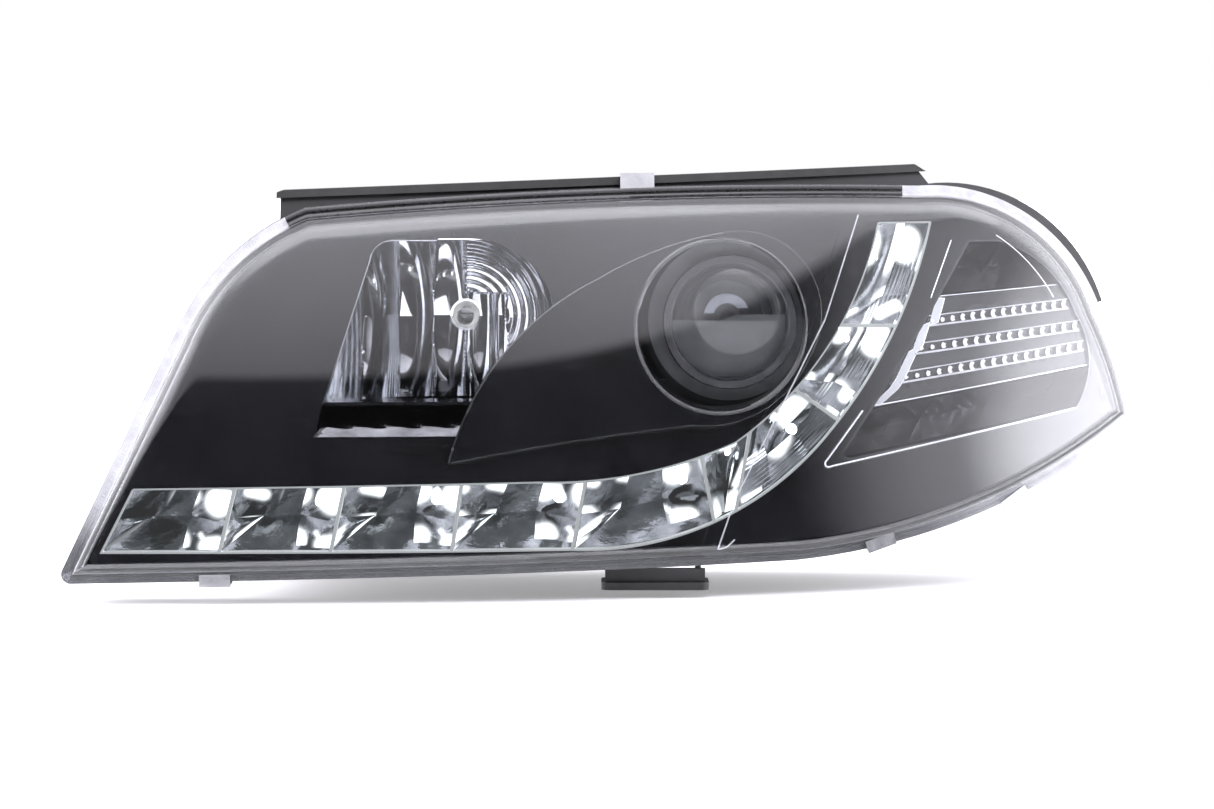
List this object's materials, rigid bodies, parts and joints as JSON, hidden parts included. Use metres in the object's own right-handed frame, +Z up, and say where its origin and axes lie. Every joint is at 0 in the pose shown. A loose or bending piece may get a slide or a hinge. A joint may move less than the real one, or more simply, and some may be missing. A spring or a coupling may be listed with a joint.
{
  "type": "car headlight assembly",
  "caption": "Swept car headlight: clear cover, black trim, high-beam reflector, projector, light strip, indicator bars, rear caps and aiming screws.",
  "frame": {"origin": "centre of the outboard upper mounting bolt's hole, at the ear's top face", "axes": "+X runs outboard along the lamp, +Y runs back into the car, +Z is up"},
  "size_m": [0.57, 0.3045, 0.2194],
  "materials": {
    "clear_cover": "clear hard-coated polycarbonate, glossy, with a frosted knurled rim",
    "black_trim": "gloss black moulding",
    "black_housing": "black glass-filled polypropylene, fine grain",
    "chrome_reflector": "vacuum-metallised plastic, bright",
    "chrome_ring": "bright metallised ring",
    "lens_glass": "optical glass, polished",
    "light_bar_clear": "clear moulded acrylic",
    "seal_rubber": "soft black rubber",
    "spring_steel": "bright spring steel",
    "zinc_steel": "zinc-plated steel",
    "cast_metal": "die-cast aluminium, dull",
    "nylon_white": "natural nylon",
    "circuit_board": "white-masked circuit board",
    "led_white": "LED chips, lit cool white",
    "led_clear": "LED lamps, unlit",
    "quartz": "clear quartz",
    "motor_plastic": "black nylon",
    "knob_plastic": "natural nylon, fluted",
    "contact_brass": "tinned brass contacts"
  },
  "bodies": {
    "lamp_body": {"housing_front": "black_housing", "housing_body": "black_housing", "housing_rear": "black_housing", "lens_cover": "clear_cover", "lens_seal": "seal_rubber", "vent_caps": "seal_rubber", "mount_bushes": "zinc_steel", "lower_bracket": "black_housing", "top_rail": "black_housing", "hood_seal": "seal_rubber", "lens_clips": "spring_steel", "trim_bezel": "black_trim", "high_beam_tunnel": "black_trim", "projector_sleeve": "black_trim", "projector_shroud": "black_trim", "drl_reflector": "chrome_reflector", "drl_board": "circuit_board", "drl_leds": "led_white", "indicator_reflector": "chrome_reflector", "indicator_light_bars": "light_bar_clear", "indicator_board": "circuit_board", "indicator_leds": "led_clear", "indicator_pillars": "nylon_white", "pivot_bracket": "motor_plastic", "pivot_screws": "zinc_steel", "lateral_bush": "nylon_white", "level_motor": "motor_plastic", "motor_seal": "seal_rubber", "main_connector": "motor_plastic", "connector_pins": "contact_brass", "led_driver": "cast_metal", "driver_screws": "zinc_steel"},
    "trunnion_block": {"trunnion": "nylon_white"},
    "aiming_carrier": {"aiming_frame": "black_housing", "ball_sockets": "nylon_white", "high_reflector": "chrome_reflector", "high_bulb_glass": "quartz", "high_bulb_base": "zinc_steel", "high_bulb_plug": "nylon_white", "projector_lens": "lens_glass", "projector_lens_ring": "chrome_ring", "projector_barrel": "cast_metal", "cutoff_shield": "zinc_steel", "projector_reflector": "chrome_reflector", "low_bulb_glass": "quartz", "low_bulb_base": "zinc_steel", "low_bulb_plug": "nylon_white", "carrier_screws": "zinc_steel"},
    "high_clip": {"high_bulb_clip": "spring_steel"},
    "low_clip": {"low_bulb_clip": "spring_steel"},
    "vertical_screw": {"vertical_rod": "zinc_steel"},
    "vertical_adjuster": {"vertical_knob": "knob_plastic"},
    "lateral_screw": {"lateral_rod": "zinc_steel"},
    "lateral_adjuster": {"lateral_knob": "knob_plastic"},
    "high_rear_cap": {"high_cap": "black_housing", "high_cap_seal": "seal_rubber"},
    "low_rear_cap": {"low_cap": "black_housing", "low_cap_seal": "seal_rubber"}
  },
  "joints": [
    {"name": "lateral_knob_turn", "type": "hinge", "parent": "lamp_body", "child": "lateral_adjuster", "pos_m": [-0.29, 0.003, -0.019], "axis": [0, 1, 0], "range_deg": [-520, 520]},
    {"name": "lateral_aim", "type": "hinge", "parent": "lamp_body", "child": "trunnion_block", "pos_m": [-0.166, -0.092, -0.019], "axis": [0, 0, 1], "range_deg": [-2, 2]},
    {"name": "lateral_screw_travel", "type": "slide", "parent": "lamp_body", "child": "lateral_screw", "axis": [0, 1, 0], "range_m": [-0.0044, 0.0044]},
    {"name": "vertical_knob_turn", "type": "hinge", "parent": "lamp_body", "child": "vertical_adjuster", "pos_m": [-0.166, 0.04, -0.136], "axis": [0, 1, 0], "range_deg": [-490, 490]},
    {"name": "vertical_aim", "type": "hinge", "parent": "trunnion_block", "child": "aiming_carrier", "pos_m": [-0.166, -0.092, -0.019], "axis": [1, 0, 0], "range_deg": [-2, 2]},
    {"name": "vertical_screw_travel", "type": "slide", "parent": "lamp_body", "child": "vertical_screw", "axis": [0, 1, 0], "range_m": [-0.0042, 0.0042]},
    {"name": "high_bulb_clip_swing", "type": "hinge", "parent": "aiming_carrier", "child": "high_clip", "pos_m": [-0.23, -0.0958, -0.029], "axis": [1, 0, 0], "range_deg": [0, 95]},
    {"name": "low_bulb_clip_swing", "type": "hinge", "parent": "aiming_carrier", "child": "low_clip", "pos_m": [-0.09, -0.0538, -0.032], "axis": [1, 0, 0], "range_deg": [0, 95]},
    {"name": "high_cap_turn", "type": "hinge", "parent": "lamp_body", "child": "high_rear_cap", "pos_m": [-0.23, 0.001, -0.046], "axis": [0, 1, 0], "range_deg": [-30, 0]},
    {"name": "low_cap_turn", "type": "hinge", "parent": "lamp_body", "child": "low_rear_cap", "pos_m": [-0.09, 0.001, -0.049], "axis": [0, 1, 0], "range_deg": [-30, 0]}
  ],
  "couplings": [
    {"joint": "lateral_knob_turn", "follows": "lateral_aim", "ratio": 259.97},
    {"joint": "lateral_screw_travel", "follows": "lateral_aim", "m_per_rad": -0.124},
    {"joint": "vertical_knob_turn", "follows": "vertical_aim", "ratio": 244.98},
    {"joint": "vertical_screw_travel", "follows": "vertical_aim", "m_per_rad": 0.117}
  ]
}
